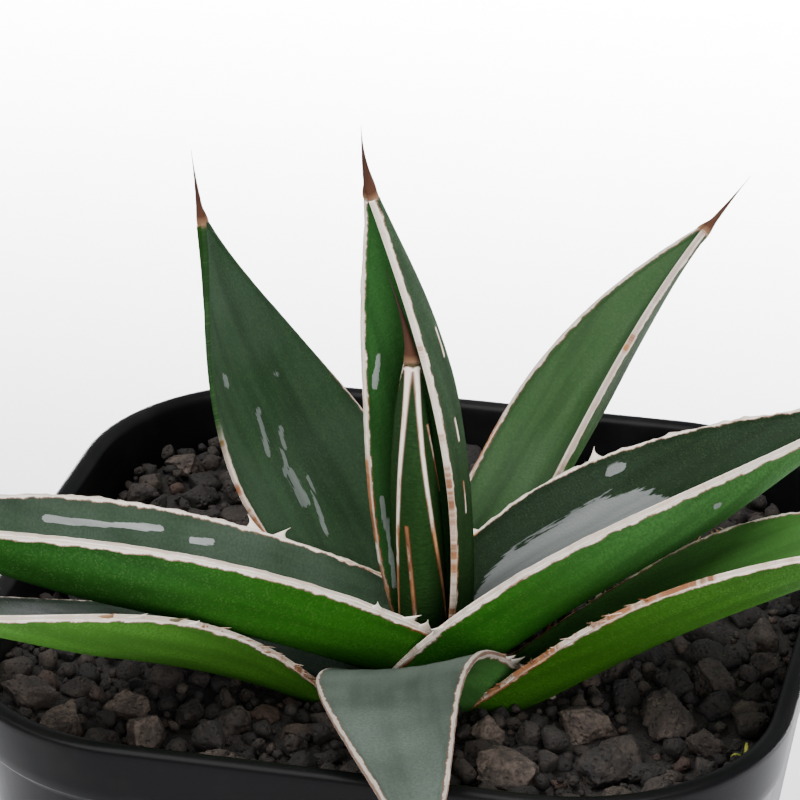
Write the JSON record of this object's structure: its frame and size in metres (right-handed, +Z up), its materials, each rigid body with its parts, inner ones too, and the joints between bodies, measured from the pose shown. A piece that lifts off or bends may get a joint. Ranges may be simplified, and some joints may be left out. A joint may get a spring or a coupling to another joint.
{
  "type": "potted agave",
  "caption": "Young agave with a rosette of stiff white-edged, spine-tipped leaves in a square black plastic nursery pot topped with dark lava gravel.",
  "frame": {"origin": "centre of the pot's underside, on the plane the pot stands on", "axes": "+Z up; X and Y parallel to the sides of the square pot, -Y towards the side the lowest front leaf leans over"},
  "size_m": [0.1296, 0.1194, 0.1408],
  "materials": {
    "black_plastic": "satin moulded black polypropylene with soft reflections",
    "lava_gravel": null,
    "lava_stone": null,
    "stem": "pale fibrous stem and roots",
    "leaf": null
  },
  "bodies": {
    "root": {"leaf_1_spear": "leaf", "leaf_2_upright": "leaf", "leaf_3_left": "leaf", "leaf_4_right": "leaf", "leaf_5_back_left": "leaf", "leaf_6_front": "leaf", "leaf_7_back_right": "leaf", "leaf_8_low_left": "leaf", "leaf_9_low_right": "leaf", "pot": "black_plastic", "stem_and_roots": "stem", "stone_01": "lava_stone", "stone_02": "lava_stone", "stone_03": "lava_stone", "stone_04": "lava_stone", "stone_05": "lava_stone", "stone_06": "lava_stone", "stone_07": "lava_stone", "stone_08": "lava_stone", "stone_09": "lava_stone", "stone_10": "lava_stone", "stone_11": "lava_stone", "stone_12": "lava_stone", "stone_13": "lava_stone", "stone_14": "lava_stone", "stone_15": "lava_stone", "stone_16": "lava_stone", "stone_17": "lava_stone", "stone_18": "lava_stone", "stone_19": "lava_stone", "stone_20": "lava_stone", "stone_21": "lava_stone", "stone_22": "lava_stone", "stone_23": "lava_stone", "stone_24": "lava_stone", "stone_25": "lava_stone", "stone_26": "lava_stone", "substrate": "lava_gravel"}
  },
  "joints": []
}
